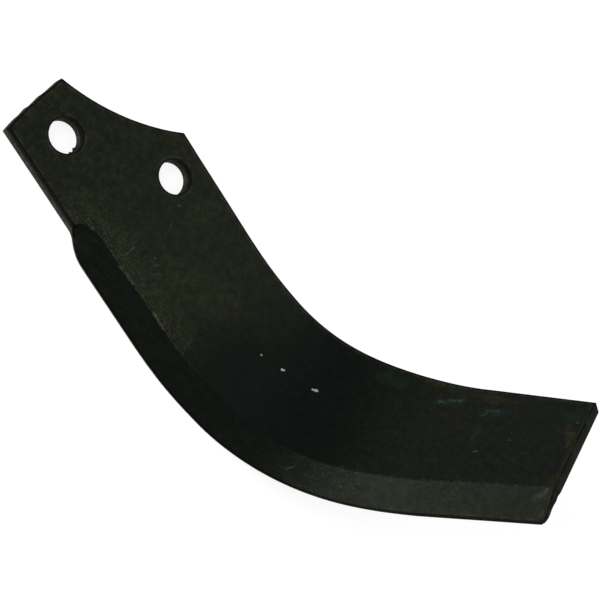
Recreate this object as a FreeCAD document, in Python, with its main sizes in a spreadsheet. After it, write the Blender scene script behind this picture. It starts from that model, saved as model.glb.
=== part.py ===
import FreeCAD, Part

# Blade of a rotary tiller, forged from one flat steel bar.
# The bar is cut to a sickle outline, its convex edge is drawn out to a bevel, and the
# wing is bent up round an axis that lies askew to the bar. Two bolts hold its heel.
#
# The body is drawn in the frame of the bend: x runs along the blank, square to the bend,
# y across it, and z out of its bevelled face. The body is then turned so that +X runs
# from the bolt hole beside the leading edge to the other one. The origin is midway
# between the two holes, on the flat back of the heel.

import os
from math import atan2

import Sketcher
from FreeCAD import Placement, Rotation, Vector

# Driving dimensions, in millimetres and degrees.
SIZES = [
    ("plate_thickness", 8.0, "bar, from face to face"),
    ("leading_margin", 13.1, "metal left between a hole and the leading side of the bar"),
    ("trailing_margin", 8.6, "metal left between a hole and the trailing side of the bar"),
    ("hole_diameter", 17.0, "bolt holes"),
    ("hole_spacing", 57.0, "bolt holes, from centre to centre"),
    ("hole_line_angle", 39.0, "line of the holes, from the run of the bar"),
    ("heel_end_distance", 44.8, "sheared heel end, from the middle of the holes"),
    ("heel_end_angle", 60.0, "sheared heel end, from the line of the holes"),
    ("hollow_radius", 115.0, "hollow cut in the heel"),
    ("hollow_margin", 10.5, "metal left between the holes' sides and the bottom of the hollow"),
    ("leading_straight", 75.0, "where the leading edge starts to curve, along the bar"),
    ("leading_radius", 240.0, "curve of the leading edge"),
    ("leading_turn_angle", 31.0, "angle that the leading edge turns through"),
    ("trailing_straight", 68.5, "where the trailing edge starts to curve, along the bar"),
    ("trailing_radius", 218.0, "curve of the trailing edge"),
    ("trailing_turn_angle", 25.0, "angle that the trailing edge turns through"),
    ("bevel_start", 13.0, "where the bevel starts, along the bar"),
    ("bevel_runout", 17.0, "length over which the bevel grows to its full width and flare"),
    ("heel_bevel_width", 13.2, "bevel, across the face, where it starts"),
    ("tip_bevel_width", 15.9, "bevel, across the face, at the tip"),
    ("edge_land", 1.5, "thickness left at the leading edge"),
    ("edge_runout", 4.5, "length over which the bar thins down to that edge"),
    ("edge_flare", 5.0, "how far the drawn-out edge stands out from the bar's side"),
    ("flare_lag", 3.7, "how far past the start of the bevel its edge starts to stand out"),
    ("bend_skew", 12.0, "bend, from square to the bar"),
    ("bend_start", 115.0, "from the middle of the holes to the bend"),
    ("bend_inner_radius", 100.0, "bend, on the bevelled side"),
    ("bend_angle", 60.0, "angle that the wing is bent up through"),
    ("wing_length", 56.5, "flat of the wing, from the bend to the tip"),
    ("tip_slant_angle", 6.2, "tip end, from parallel to the bend"),
    ("tip_corner_radius", 4.0, "corner between the leading edge and the tip end"),
    ("tip_corner_overrun", 0.2, "how far the round of that corner runs out past the edge"),
    ("end_waste", 20.0, "length of bar that is cut off beyond each end"),
]

# Expressions in the driving dimensions.
HOLES_HALF_WIDTH = (
    "(Sizes.hole_spacing / 2 * sin(Sizes.hole_line_angle) + Sizes.hole_diameter / 2)"
)
LEADING_SIDE = f"({HOLES_HALF_WIDTH} + Sizes.leading_margin)"
TRAILING_SIDE = f"({HOLES_HALF_WIDTH} + Sizes.trailing_margin)"
BAR_WIDTH = f"({LEADING_SIDE} + {TRAILING_SIDE})"
FLARED_SIDE = f"(-{LEADING_SIDE} - Sizes.edge_flare)"
HOLLOW_REACH = "(Sizes.hollow_radius + Sizes.hole_diameter / 2 + Sizes.hollow_margin)"
BEND_BACK_RADIUS = "(Sizes.bend_inner_radius + Sizes.plate_thickness)"
BEND_MIDDLE_RADIUS = "(Sizes.bend_inner_radius + Sizes.plate_thickness / 2)"
BEND_LENGTH = f"({BEND_MIDDLE_RADIUS} * Sizes.bend_angle * pi / 180)"
BEVEL_START = (
    f"(Sizes.bevel_start * cos(Sizes.bend_skew) - {LEADING_SIDE} * sin(Sizes.bend_skew))"
)
BEVEL_FULL = f"({BEVEL_START} + Sizes.bevel_runout)"
BLADE_END = f"(Sizes.bend_start + {BEND_LENGTH} + Sizes.wing_length)"
HOLE_LINE = "(Sizes.hole_line_angle - Sizes.bend_skew)"

# Angles round a quarter circle, whose cosines space the sections of the run-out: close
# together where the bevel grows fast, and again at its end, where it has to end level.
RUNOUT_ANGLES = [8, 20, 32, 44, 56, 68, 79, 86, 90]

# About how far apart the sections of a loft stand, in millimetres.
SECTION_SPACING = 18.0

# Numbers by which a sketch's constraints refer to the points of a line or arc, and its axes.
START, END, CENTRE = range(1, 4)
X_AXIS, Y_AXIS = range(-1, -3, -1)
ROOT = (X_AXIS, START)

doc = FreeCAD.newDocument("tiller_blade")
sheet = doc.addObject("Spreadsheet::Sheet", "Sizes")
for row, (name, value, meaning) in enumerate(SIZES, start=1):
    sheet.set(f"A{row}", name)
    sheet.set(f"B{row}", str(value))
    sheet.set(f"C{row}", meaning)
    sheet.setAlias(f"B{row}", name)
doc.recompute()


def number(expression):
    """Value of an expression in the driving dimensions."""
    return float(sheet.evalExpression(expression))


blade = doc.addObject("PartDesign::Body", "blade")
blade.Label = "blade"
blade.Placement = Placement(Vector(), Rotation(Vector(0, 0, -1), number(HOLE_LINE)))
blade.setExpression("Placement.Rotation.Angle", HOLE_LINE)


def add_sketch(name, role, turn, turn_axis=Vector(0, 0, 1), **shift):
    """Sketch on one of the body's origin planes, turned and shifted from it by expressions."""
    sketch = blade.newObject("Sketcher::SketchObject", name)
    plane = next(item for item in blade.Origin.OriginFeatures if item.Role == role)
    sketch.AttachmentSupport = [(plane, "")]
    sketch.MapMode = "FlatFace"
    sketch.AttachmentOffset = Placement(Vector(), Rotation(turn_axis, number(turn)))
    sketch.setExpression("AttachmentOffset.Rotation.Angle", turn)
    for axis, distance in shift.items():
        sketch.setExpression(f"AttachmentOffset.Base.{axis}", distance)
    return sketch


def bind(sketch, kind, *where, to):
    """Constraint whose value is an expression in the driving dimensions."""
    index = sketch.addConstraint(Sketcher.Constraint(kind, *where, number(to)))
    sketch.setExpression(f"Constraints[{index}]", to)


def add_outline(sketch, corners):
    """Closed outline of straight lines, from corner to corner."""
    lines = [
        Part.LineSegment(start, end) for start, end in zip(corners, corners[1:] + corners[:1])
    ]
    for line in sketch.addGeometry(lines):
        following = (line + 1) % len(corners)
        sketch.addConstraint(Sketcher.Constraint("Coincident", line, END, following, START))


def sickle(side, straight, radius, turn, along):
    """How far across the blank a long edge lies: beside the bar, round an arc, to the tip."""
    skew = "Sizes.bend_skew"
    leaving = f"({turn} - {skew})"
    middle_along = f"({straight} * cos({skew}) + ({side} + {radius}) * sin({skew}))"
    middle_across = f"(({side} + {radius}) * cos({skew}) - {straight} * sin({skew}))"
    from_middle = f"({along} - {middle_along})"
    beside = (
        f"{middle_across} - {radius} * cos({skew})"
        f" - ({from_middle} + {radius} * sin({skew})) * tan({skew})"
    )
    round_arc = f"{middle_across} - sqrt({radius} ^ 2 - {from_middle} ^ 2)"
    to_tip = (
        f"{middle_across} - {radius} * cos({leaving})"
        f" + ({from_middle} - {radius} * sin({leaving})) * tan({leaving})"
    )
    return (
        f"({from_middle} < -{radius} * sin({skew}) ? {beside} : "
        f"({from_middle} > {radius} * sin({leaving}) ? {to_tip} : {round_arc}))"
    )


def leading_edge(along):
    """Leading edge where the bevel is full."""
    return sickle(
        FLARED_SIDE,
        "Sizes.leading_straight",
        "Sizes.leading_radius",
        "Sizes.leading_turn_angle",
        along,
    )


def full_ridge(along):
    """Inner border of the bevel where it is full. The bevel widens evenly towards the tip."""
    gone = f"({along} - {BEVEL_START}) / ({BLADE_END} - {BEVEL_START})"
    heel_width = "Sizes.heel_bevel_width"
    width = f"({heel_width} + (Sizes.tip_bevel_width - {heel_width}) * {gone})"
    side = f"({FLARED_SIDE} + {width})"
    radius = f"(Sizes.leading_radius - {width})"
    return sickle(side, "Sizes.leading_straight", radius, "Sizes.leading_turn_angle", along)


def trailing_edge(along):
    """Trailing edge."""
    return sickle(
        TRAILING_SIDE,
        "Sizes.trailing_straight",
        "Sizes.trailing_radius",
        "Sizes.trailing_turn_angle",
        along,
    )


def grown(along, start, length):
    """Share of its full size that a form has reached, along a parabola that ends level."""
    left = f"(1 - min(max(({along} - {start}) / {length}; 0); 1))"
    return f"(1 - {left} ^ 2)"


def add_section(name, along, bent="0", beyond="0"):
    """Section of the bevelled bar, in the plane that stands square across it at a station.

    bent is the angle already bent through there, and beyond the distance past the bend.
    """
    before = f"min({along}; Sizes.bend_start)"
    sketch = add_sketch(
        name,
        "YZ_Plane",
        turn=bent,
        turn_axis=Vector(-1, 0, 0),
        y=f"{BEND_BACK_RADIUS} * (1 - cos({bent})) + {beyond} * sin({bent})",
        z=f"{before} + {BEND_BACK_RADIUS} * sin({bent}) + {beyond} * cos({bent})",
    )

    widened = grown(along, BEVEL_START, "Sizes.bevel_runout")
    thinned = grown(along, BEVEL_START, "Sizes.edge_runout")
    flared = grown(
        along, f"({BEVEL_START} + Sizes.flare_lag)", "(Sizes.bevel_runout - Sizes.flare_lag)"
    )
    swung_in = f"(1 - {flared}) * Sizes.edge_flare / cos(Sizes.bend_skew)"
    leading = f"({leading_edge(along)} + {swung_in})"
    ridge = f"({leading} + ({full_ridge(along)} - {leading_edge(along)}) * {widened})"
    trailing = trailing_edge(along)
    wall = f"(Sizes.plate_thickness - (Sizes.plate_thickness - Sizes.edge_land) * {thinned})"

    top = number("Sizes.plate_thickness")
    corners = [
        Vector(number(leading), 0),
        Vector(number(trailing), 0),
        Vector(number(trailing), top),
        Vector(number(ridge), top),
        Vector(number(leading), number(wall)),
    ]
    add_outline(sketch, corners)
    back_line, trailing_wall, face_line, _, land_wall = range(len(corners))
    sketch.addConstraint(Sketcher.Constraint("PointOnObject", back_line, START, X_AXIS))
    sketch.addConstraint(Sketcher.Constraint("PointOnObject", back_line, END, X_AXIS))
    sketch.addConstraint(Sketcher.Constraint("Vertical", trailing_wall))
    sketch.addConstraint(Sketcher.Constraint("Horizontal", face_line))
    sketch.addConstraint(Sketcher.Constraint("Vertical", land_wall))
    bind(sketch, "DistanceX", *ROOT, back_line, START, to=leading)
    bind(sketch, "DistanceX", *ROOT, back_line, END, to=trailing)
    bind(sketch, "DistanceX", *ROOT, face_line, END, to=ridge)
    bind(sketch, "DistanceY", *ROOT, face_line, START, to="Sizes.plate_thickness")
    bind(sketch, "DistanceY", *ROOT, land_wall, START, to=wall)
    return sketch


def add_loft(name, sections):
    """Solid through a row of sections."""
    loft = blade.newObject("PartDesign::AdditiveLoft", name)
    loft.Profile = sections[0]
    loft.Sections = [(section, [""]) for section in sections[1:]]
    doc.recompute()


def add_pocket(name, sketch):
    """Cut through the whole thickness of the bar, which has to take metal away."""
    before = blade.Shape.Volume
    pocket = blade.newObject("PartDesign::Pocket", name)
    pocket.Profile = sketch
    pocket.Type = "ThroughAll"
    pocket.Reversed = True
    doc.recompute()
    if blade.Shape.Volume >= before:
        raise RuntimeError(f"{name} cuts nothing")


def add_bound_outline(sketch, corners):
    """Closed outline of straight lines whose corners are pairs of expressions."""
    add_outline(sketch, [Vector(number(x), number(y)) for x, y in corners])
    for line, (x, y) in enumerate(corners):
        bind(sketch, "DistanceX", *ROOT, line, START, to=x)
        bind(sketch, "DistanceY", *ROOT, line, START, to=y)


def add_round_cornered_outline(sketch, corners, middle):
    """Closed outline whose corners are pairs of expressions, the last joined by an arc."""
    points = [Vector(number(x), number(y)) for x, y in corners]
    centre = Vector(*(number(place) for place in middle))
    lines = [Part.LineSegment(start, end) for start, end in zip(points, points[1:])]
    sketch.addGeometry(lines)
    leaving, arriving = points[-1] - centre, points[0] - centre
    circle = Part.Circle(centre, Vector(0, 0, 1), arriving.Length)
    arc = sketch.addGeometry(
        Part.ArcOfCircle(circle, atan2(leaving.y, leaving.x), atan2(arriving.y, arriving.x))
    )
    for line, (x, y) in enumerate(corners[:-1]):
        bind(sketch, "DistanceX", *ROOT, line, START, to=x)
        bind(sketch, "DistanceY", *ROOT, line, START, to=y)
        if line:
            sketch.addConstraint(Sketcher.Constraint("Coincident", line - 1, END, line, START))
    last = len(lines) - 1
    bind(sketch, "DistanceX", *ROOT, arc, CENTRE, to=middle[0])
    bind(sketch, "DistanceY", *ROOT, arc, CENTRE, to=middle[1])
    bind(sketch, "DistanceX", *ROOT, last, END, to=corners[-1][0])
    sketch.addConstraint(Sketcher.Constraint("Coincident", arc, START, last, END))
    sketch.addConstraint(Sketcher.Constraint("Coincident", arc, END, 0, START))


def shares(length):
    """Even steps along a length, as shares of it, from the first step to 1."""
    steps = round(number(length) / SECTION_SPACING)
    return [step / steps for step in range(1, steps + 1)]


def along_runout(angle):
    """Station of a section in the run-out, for an angle round its quarter circle."""
    return f"({BEVEL_START} + Sizes.bevel_runout * (1 - cos({angle})))"


def down_bar(along, off_bar):
    """How far down the bar a station lies, at a distance off its middle line."""
    return f"(({along} - {off_bar} * sin(Sizes.bend_skew)) / cos(Sizes.bend_skew))"


def add_bar():
    """Heel of the bar, as far as the first section of the bevel."""
    first_section = along_runout(RUNOUT_ANGLES[0])
    start = "-(Sizes.heel_end_distance + Sizes.end_waste)"
    sketch = add_sketch(
        "bar_outline", "XY_Plane", turn="Sizes.bend_skew", turn_axis=Vector(0, 0, -1)
    )
    leading_side = f"-{LEADING_SIDE}"
    corners = [
        (start, leading_side),
        (down_bar(first_section, leading_side), leading_side),
        (down_bar(first_section, TRAILING_SIDE), TRAILING_SIDE),
        (start, TRAILING_SIDE),
    ]
    add_bound_outline(sketch, corners)
    pad = blade.newObject("PartDesign::Pad", "bar")
    pad.Profile = sketch
    pad.setExpression("Length", "Sizes.plate_thickness")
    doc.recompute()


def add_bevelled_blade():
    """Run-out, flat, bend and wing: each a loft from the last section of the one before."""
    runout = []
    for angle in RUNOUT_ANGLES:
        runout.append(add_section("runout_section", along_runout(angle)))
    add_loft("runout", runout)

    flat_length = f"(Sizes.bend_start - {BEVEL_FULL})"
    flat = runout[-1:]
    for share in shares(flat_length):
        along = f"({BEVEL_FULL} + {flat_length} * {share})"
        flat.append(add_section("flat_section", along))
    add_loft("flat", flat)

    bend = flat[-1:]
    for share in shares(BEND_LENGTH):
        along = f"(Sizes.bend_start + {BEND_LENGTH} * {share})"
        bend.append(add_section("bend_section", along, bent=f"(Sizes.bend_angle * {share})"))
    add_loft("bend", bend)

    wing_length = "(Sizes.wing_length + Sizes.end_waste)"
    wing = bend[-1:]
    for share in shares(wing_length):
        beyond = f"({wing_length} * {share})"
        along = f"(Sizes.bend_start + {BEND_LENGTH} + {beyond})"
        wing.append(add_section("wing_section", along, bent="Sizes.bend_angle", beyond=beyond))
    add_loft("wing", wing)


def cut_heel():
    """Sheared end of the heel and the hollow beside it."""
    sketch = add_sketch(
        "heel_end_outline", "XY_Plane", turn=f"{HOLE_LINE} + Sizes.heel_end_angle"
    )
    outer = f"(Sizes.heel_end_distance + {BAR_WIDTH})"
    corners = [
        (f"-{BAR_WIDTH}", "Sizes.heel_end_distance"),
        (BAR_WIDTH, "Sizes.heel_end_distance"),
        (BAR_WIDTH, outer),
        (f"-{BAR_WIDTH}", outer),
    ]
    add_bound_outline(sketch, corners)
    add_pocket("heel_end", sketch)

    sketch = add_sketch("hollow_outline", "XY_Plane", turn=HOLE_LINE)
    middle = Vector(0, number(HOLLOW_REACH))
    radius = number("Sizes.hollow_radius")
    circle = sketch.addGeometry(Part.Circle(middle, Vector(0, 0, 1), radius))
    sketch.addConstraint(Sketcher.Constraint("PointOnObject", circle, CENTRE, Y_AXIS))
    bind(sketch, "DistanceY", *ROOT, circle, CENTRE, to=HOLLOW_REACH)
    bind(sketch, "Radius", circle, to="Sizes.hollow_radius")
    add_pocket("hollow", sketch)


def cut_bolt_holes():
    """Two bolt holes, either side of the origin."""
    sketch = add_sketch("bolt_hole_outlines", "XY_Plane", turn=HOLE_LINE)
    for side in ("-", ""):
        place = f"{side}Sizes.hole_spacing / 2"
        middle = Vector(number(place), 0)
        radius = number("Sizes.hole_diameter / 2")
        circle = sketch.addGeometry(Part.Circle(middle, Vector(0, 0, 1), radius))
        sketch.addConstraint(Sketcher.Constraint("PointOnObject", circle, CENTRE, X_AXIS))
        bind(sketch, "DistanceX", *ROOT, circle, CENTRE, to=place)
        bind(sketch, "Diameter", circle, to="Sizes.hole_diameter")
    add_pocket("bolt_holes", sketch)


def cut_tip():
    """Slanted end of the wing, cut square to its face, with the leading corner rounded."""
    sketch = add_sketch(
        "tip_end_outline",
        "XY_Plane",
        turn="Sizes.bend_angle",
        turn_axis=Vector(0, -1, 0),
        x=f"Sizes.bend_start + {BEND_BACK_RADIUS} * sin(Sizes.bend_angle)",
        z=f"{BEND_BACK_RADIUS} * (1 - cos(Sizes.bend_angle))",
    )
    slant = "Sizes.tip_slant_angle"
    leaving = "(Sizes.leading_turn_angle - Sizes.bend_skew)"
    radius = "Sizes.tip_corner_radius"
    within = f"({radius} - Sizes.tip_corner_overrun)"
    edge_across = leading_edge(BLADE_END)
    corner_across = f"({edge_across} / (1 + tan({slant}) * tan({leaving})))"
    corner_along = f"(Sizes.wing_length - {corner_across} * tan({slant}))"
    shrink = f"cos({leaving} - {slant})"
    middle = (
        f"({corner_along} - ({radius} * cos({leaving}) + {within} * sin({slant})) / {shrink})",
        f"({corner_across} - ({radius} * sin({leaving}) - {within} * cos({slant})) / {shrink})",
    )
    outer = f"(Sizes.wing_length + {BAR_WIDTH})"
    lean = f"{BAR_WIDTH} * tan({slant})"
    corners = [
        (f"({middle[0]} + {radius} * cos({slant}))", f"({middle[1]} + {radius} * sin({slant}))"),
        (f"(Sizes.wing_length - {lean})", BAR_WIDTH),
        (outer, BAR_WIDTH),
        (outer, f"-{BAR_WIDTH}"),
        (f"({middle[0]} + {radius} * sin({leaving}))", f"-{BAR_WIDTH}"),
        (
            f"({middle[0]} + {radius} * sin({leaving}))",
            f"({middle[1]} - {radius} * cos({leaving}))",
        ),
    ]
    add_round_cornered_outline(sketch, corners, middle)
    add_pocket("tip_end", sketch)


def write_parts():
    """Check every object of the document and write the blade."""
    for item in doc.Objects:
        if "Invalid" in item.State or "Error" in item.State:
            raise RuntimeError(f"{item.Name} failed: {item.State}")
    if blade.Shape.isNull() or not blade.Shape.isValid() or len(blade.Shape.Solids) != 1:
        raise RuntimeError("blade is not one valid solid")
    os.makedirs("parts", exist_ok=True)
    blade.Shape.exportStep(f"parts/{blade.Label}.step")


add_bar()
add_bevelled_blade()
cut_heel()
cut_bolt_holes()
cut_tip()
write_parts()
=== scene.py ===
# Looks of the tiller blade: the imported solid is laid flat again, remeshed finely, given the
# marks of forging, shearing and wear on the flat bar, and bent back up into its place. The
# material is laid out on the flat bar too.

from math import cos, pi, radians, sin
from types import SimpleNamespace

import bmesh
import bpy
import numpy as np
from mathutils import Euler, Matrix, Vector, noise
from mathutils.bvhtree import BVHTree
from mathutils.geometry import delaunay_2d_cdt
from mathutils.kdtree import KDTree


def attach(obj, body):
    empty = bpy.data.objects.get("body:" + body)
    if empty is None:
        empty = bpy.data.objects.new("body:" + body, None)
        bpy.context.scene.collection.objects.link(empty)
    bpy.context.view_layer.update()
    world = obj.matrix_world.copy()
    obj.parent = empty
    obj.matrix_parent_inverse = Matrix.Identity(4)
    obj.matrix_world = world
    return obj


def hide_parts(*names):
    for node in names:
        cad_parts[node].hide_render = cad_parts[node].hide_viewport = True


MM = 0.001

# Sizes of the blade that the flattening needs, in mm and degrees. The row of holes is turned
# by HOLE_LINE from the line square to the bend.
THICKNESS = 8.0
HOLE_LINE = 27.0
BEND_START = 115.0
BEND_INNER_RADIUS = 100.0
BEND_ANGLE = 60.0

BACK_RADIUS = BEND_INNER_RADIUS + THICKNESS
MIDDLE_RADIUS = BEND_INNER_RADIUS + THICKNESS / 2
BEND = radians(BEND_ANGLE)
BEND_LENGTH = MIDDLE_RADIUS * BEND

# Spacing of the fine mesh along its walls, over its faces and on small marks, in mm.
WALL_SPACING = 0.7
FACE_SPACING = 1.1
SMALL_MARK_SPACING = 0.35

# How far the fine spacing reaches round a small mark, in mm, and how near the points of a face
# may come to others, as a share of their spacing.
SMALL_MARK_MARGIN = 0.6
CLEAR_SHARE = 0.6

# Rows of points beside the crease, the inner border of the bevel: how far they lie from it, and
# how near they and small marks may come to the rim of the blade or of a hole, in mm.
CREASE_ROWS = (-1.05, -0.5, 0.5, 1.05)
RIM_CLEARANCE = 0.9

# Rounding of the edges in mm and its steps, and the rows of faces down a wall.
EASE = 0.25
EASE_STEPS = 2
WALL_ROWS = 7

# Turn in degrees from which an outline has a corner, how often the stretches between corners
# are evened out, and how near, in mm, points are one.
CORNER = 12.0
EASINGS = 6
WELD = 0.002

# What delaunay_2d_cdt gives back when only the triangles within the outline are wanted.
INSIDE = 1

# How far up at least the normals of a level face point, and those of a sloping one.
LEVEL = 0.995
SLOPING = 0.3

# Unevenness of the forged faces and the sheared walls, size across and depth in mm, and how
# much the shear marks are drawn out down a wall.
SWELL = (24.0, 0.07)
RIPPLE = (6.0, 0.03)
SHEAR_MARKS = (1.6, 0.08)
SHEAR_STRETCH = 6.0

# How much narrower than drawn the holes start, because wear and easing widen them, in mm.
HOLE_ALLOWANCE = 0.25

# Groove that the forging die left beside the crease: its depth, its distance from the crease,
# its width, where it starts and ends along the crease, and the size of its unevenness, in mm.
GROOVE_DEPTH = 0.30
GROOVE_OFFSET = 1.0
GROOVE_WIDTH = 0.6
GROOVE_START = 5.0
GROOVE_END = 80.0
GROOVE_UNEVENNESS = 2.4

# Nicks and burrs in the rims, on the flat bar in mm: place, width in plan, height, depth.
# The first three are in the tip end; the burrs, with depths below zero, stand into a bolt
# hole at the back.
NICKS = [
    ((281.6, -4.4, 4.0), 1.6, 6.0, 1.1),
    ((282.4, -10.5, 4.0), 3.0, 6.0, 0.9),
    ((280.6, -17.4, 3.0), 1.6, 3.0, 0.8),
    ((-17.6, -16.4, 0.0), 0.7, 1.6, -1.4),
    ((-17.0, -14.3, 0.0), 0.7, 1.6, -1.2),
    ((-17.0, -11.4, 0.0), 0.8, 1.6, -1.2),
]

# Line of the sheared heel end, on the flat bar in mm: each place across the bar, and how far
# the metal stands past the straight end there. The pull fades out along the bar.
HEEL_END_LINE = [
    (-30.5, 0.0),
    (-28.0, 0.3),
    (-23.0, 0.65),
    (-19.5, 0.55),
    (-15.2, 0.95),
    (-14.0, 0.45),
    (-12.5, 0.37),
    (-6.2, 0.72),
    (-4.0, 0.25),
    (0.0, 0.05),
    (5.5, 0.0),
]
HEEL_END = -46.5
HEEL_END_REACH = 8.0

# The photograph's camera: its place in metres, its turn in degrees, and its lens.
CAMERA_PLACE = (-0.24150, -0.21320, 0.62730)
CAMERA_TURN = (7.147, -31.616, 13.324)
IMAGE_WIDTH = 600
FOCAL_PIXELS = 1488.1
SENSOR_WIDTH = 36.0

# Lamps: name, azimuth and elevation in degrees, width and height in metres, and watts. They
# stand round a target at a distance, in metres.
LAMPS = [
    ("key", 25, 58, (0.95, 0.95), 7),
    ("side", 178, 34, (0.9, 1.1), 15),
    ("fill", 127, 12, (0.9, 0.5), 2),
]
LAMP_TARGET = (0.1, -0.06, 0.03)
LAMP_DISTANCE = 1.5

# White surroundings and floor: half the floor's width in metres, its colour where it only
# lights the blade and where it is seen, and its glow where it is seen, which makes it white and
# leaves its shadows.
WHITE = (1, 1, 1)
FLOOR_HALF = 3.0
FLOOR_UNSEEN = (0.8, 0.8, 0.8)
FLOOR_SEEN = (0.25, 0.25, 0.25)
FLOOR_GLOW = 0.85

# Colours of the steel, as linear red, green and blue.
OLIVE_SCALE = (0.0056, 0.0070, 0.0040)
WING_SCALE = (0.0047, 0.0055, 0.0040)
# Painted shade: the slate colour darkens the heated bend, mostly for shade rather than for the
# scale's own tone.
SLATE_SCALE_AND_BEND_SHADE = (0.0009, 0.0015, 0.0018)
BEVEL_SCALE = (0.0031, 0.0040, 0.0031)
# The rubbed bevel colours are partly rubbed steel and partly a painted highlight on the wing's
# bevel, weaker towards the tip.
RUBBED_BEVEL_AND_HIGHLIGHT = (0.0146, 0.0164, 0.0126)
RUBBED_TIP_AND_HIGHLIGHT = (0.0098, 0.0113, 0.0082)
OCHRE_SCALE = (0.0120, 0.0140, 0.0052)
ASHEN_SCALE = (0.0115, 0.0135, 0.0110)
PALE_SCALE = (0.0170, 0.0200, 0.0115)
SHEARED = (0.0058, 0.0064, 0.0034)
SHEARED_GRAIN = (0.0170, 0.0190, 0.0105)
BROKEN_FOOT = (0.048, 0.054, 0.040)
RUSTY_WALL = (0.0018, 0.0015, 0.0007)
# Dark of the wall tops, which also serves as painted shade on the eased edges of the faces.
DARK_WALL_TOP_AND_EDGE_SHADE = (0.0004, 0.0005, 0.0003)
# The worn colour is worn metal, and also the painted highlight of the ridge line and the rims.
WORN_AND_HIGHLIGHT = (0.040, 0.045, 0.033)
# Near-white of the small bright specks in the bend.
BRIGHT_SPECK = (0.34, 0.35, 0.34)
TAN_RUST = (0.0200, 0.0188, 0.0095)
BROWN_RUST = (0.0104, 0.0098, 0.0046)
TEAL = (0.0058, 0.0110, 0.0088)
PALE_TEAL = (0.025, 0.034, 0.029)
INKY = (0.0022, 0.0045, 0.0050)

# Level and colour of the steel's reflections.
SPECULAR = 0.045
SPECULAR_TINT = (0.90, 1.0, 0.76)

# Random patterns in the steel: size across in mm, detail, and roughness of the detail.
CLOUD = (22.0, 4.0, 0.6)
MOTTLE = (4.0, 5.0, 0.65)
GRAIN = (0.9, 3.0, 0.7)
PATCHES = (7.0, 7.0, 0.85)
TINT = (1.6, 4.0, 0.7)
WISPS = (3.0, 4.0, 0.7)
STREAKS = (0.8, 3.0, 0.7)

# Middle of a random value, how far it commonly swings from there, and how far along the bar, in
# mm, such a swing of the clouds shifts what follows them.
NOISE_MIDDLE = 0.5
NOISE_SWING = 0.25
CLOUD_DRIFT = 12.5

# Wisps of paler scale: how much they are drawn out in x, y and z, and the turn of the pattern in
# degrees, which picks the part of it that shows.
WISP_STRETCH = (3.0, 1.0, 1.0)
WISP_TURN = 70.0

# Borders of the heated part of the bend, where its shade is painted too: where across the bar, in
# mm, they lie just where the ramps below say, and how much the start and the end lean with the
# distance from there.
HEAT_AND_SHADE_MIDDLE = -44.0
HEAT_AND_SHADE_START_LEAN = -0.70
HEAT_AND_SHADE_END_LEAN = 0.30

# The tuples down to the marks are ramps: a level goes from 0 to 1 between two values, or from
# the third number to the fourth where there are four. These ramps run along the bar, in mm.
# Heated part of the bend, where its shade is painted.
HEAT_AND_SHADE_START = (46.0, 100.0)
HEAT_AND_SHADE_END = (155.0, 219.0, 1.0, 0.0)
WING_START = (120.0, 175.0)
WING_SMOOTHNESS = (*WING_START, 0.0, 0.7)
PATCHES_FADE = (60.0, 110.0, 0.62, 0.05)
# Where the rubbed steel and painted highlight of the bevel begin, and where they fade towards the
# tip.
RUB_AND_HIGHLIGHT_START = (145.0, 195.0)
RUB_AND_HIGHLIGHT_FADE = (212.0, 270.0)
SPECKS_FADE = (178.0, 215.0, 0.8, 0.2)
# Where the wear and the painted highlight of the ridge line end near the heel and start again on the
# wing.
RIDGE_WEAR_AND_HIGHLIGHT_UNTIL = (74.0, 96.0, 1.0, 0.0)
RIDGE_WEAR_AND_HIGHLIGHT_FROM = (172.0, 192.0, 0.0, 0.7)
FOOT_END = (60.0, 110.0, 1.0, 0.1)
TIP_WALL = (215.0, 250.0, 0.0, 0.85)

# Up from the flat back, in mm.
BEVELLED_SIDE = (0.2, 0.8)
EDGE_HEIGHT = (0.5, 1.5)
WALL_FOOT = (3.0, 5.5, 1.0, 0.0)
WALL_TOP = (4.0, 6.5, 0.0, 0.9)
FULL_HEIGHT = (7.3, 7.6)

# Away from the rim of the blade or of a hole, in mm.
PAST_EDGE = (0.6, 1.2)
# Painted shade on the eased edges of the faces.
PAINTED_EDGE_SHADE = (*PAST_EDGE, 1.0, 0.0)
# A lighter rim beyond it, partly worn edge and partly painted highlight.
RIM = (1.4, 2.4, 0.4, 0.0)

# Away from the crease, in mm.
RIDGE_LINE = (0.1, 1.2, 0.8, 0.0)
RIDGE_BAND = (0.5, 9.0, 0.7, 0.0)
PITTED_BAND = (2.0, 24.0, 0.7, 0.0)

# By slope, from 0 on level faces to 1 on walls, and by how far a wall faces the leading side.
LEVEL_FACE = (0.03, 0.07, 1.0, 0.0)
ON_BEVEL = (0.04, 0.08)
ON_WALL = (0.3, 0.8)
STEEP = (0.5, 0.9)
NOT_STEEP = (*STEEP, 1.0, 0.0)
FOOT_FACING = (0.2, 0.7)

# By the random patterns.
PATCHES_SHOWN = (0.42, 0.70)
WISPS_SHOWN = (0.50, 0.75)
STREAKS_SHOWN = (0.45, 0.65)
BREAKS_SHOWN = (0.40, 0.56, 0.5, 1.0)
SPECKLE = (0.50, 0.60)
SPARSE_SPECKS = (0.58, 0.66)
# Patchiness of the rims, which are partly worn edge and partly painted highlight.
RIM_WEAR_AND_HIGHLIGHT = (0.35, 0.60, 0.1, 0.8)
MOTTLE_SHADE = (0.3, 0.7, -1.0, 1.0)
GRAIN_SHADE = (0.3, 0.7, 0.55, 1.45)
GRAIN_ROUGHNESS = (0.3, 0.7, 0.30, 0.46)

# By the heated part of the bend, where its shade is painted, by how smooth it is, and by whether the
# surroundings are seen.
WISP_COVER = (0.0, 1.0, 0.4, 0.12)
MOTTLE_SPREAD = (0.0, 1.0, 0.50, 0.28)
WORLD_STRENGTH = (0.0, 1.0, 0.3, 1.0)

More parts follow.
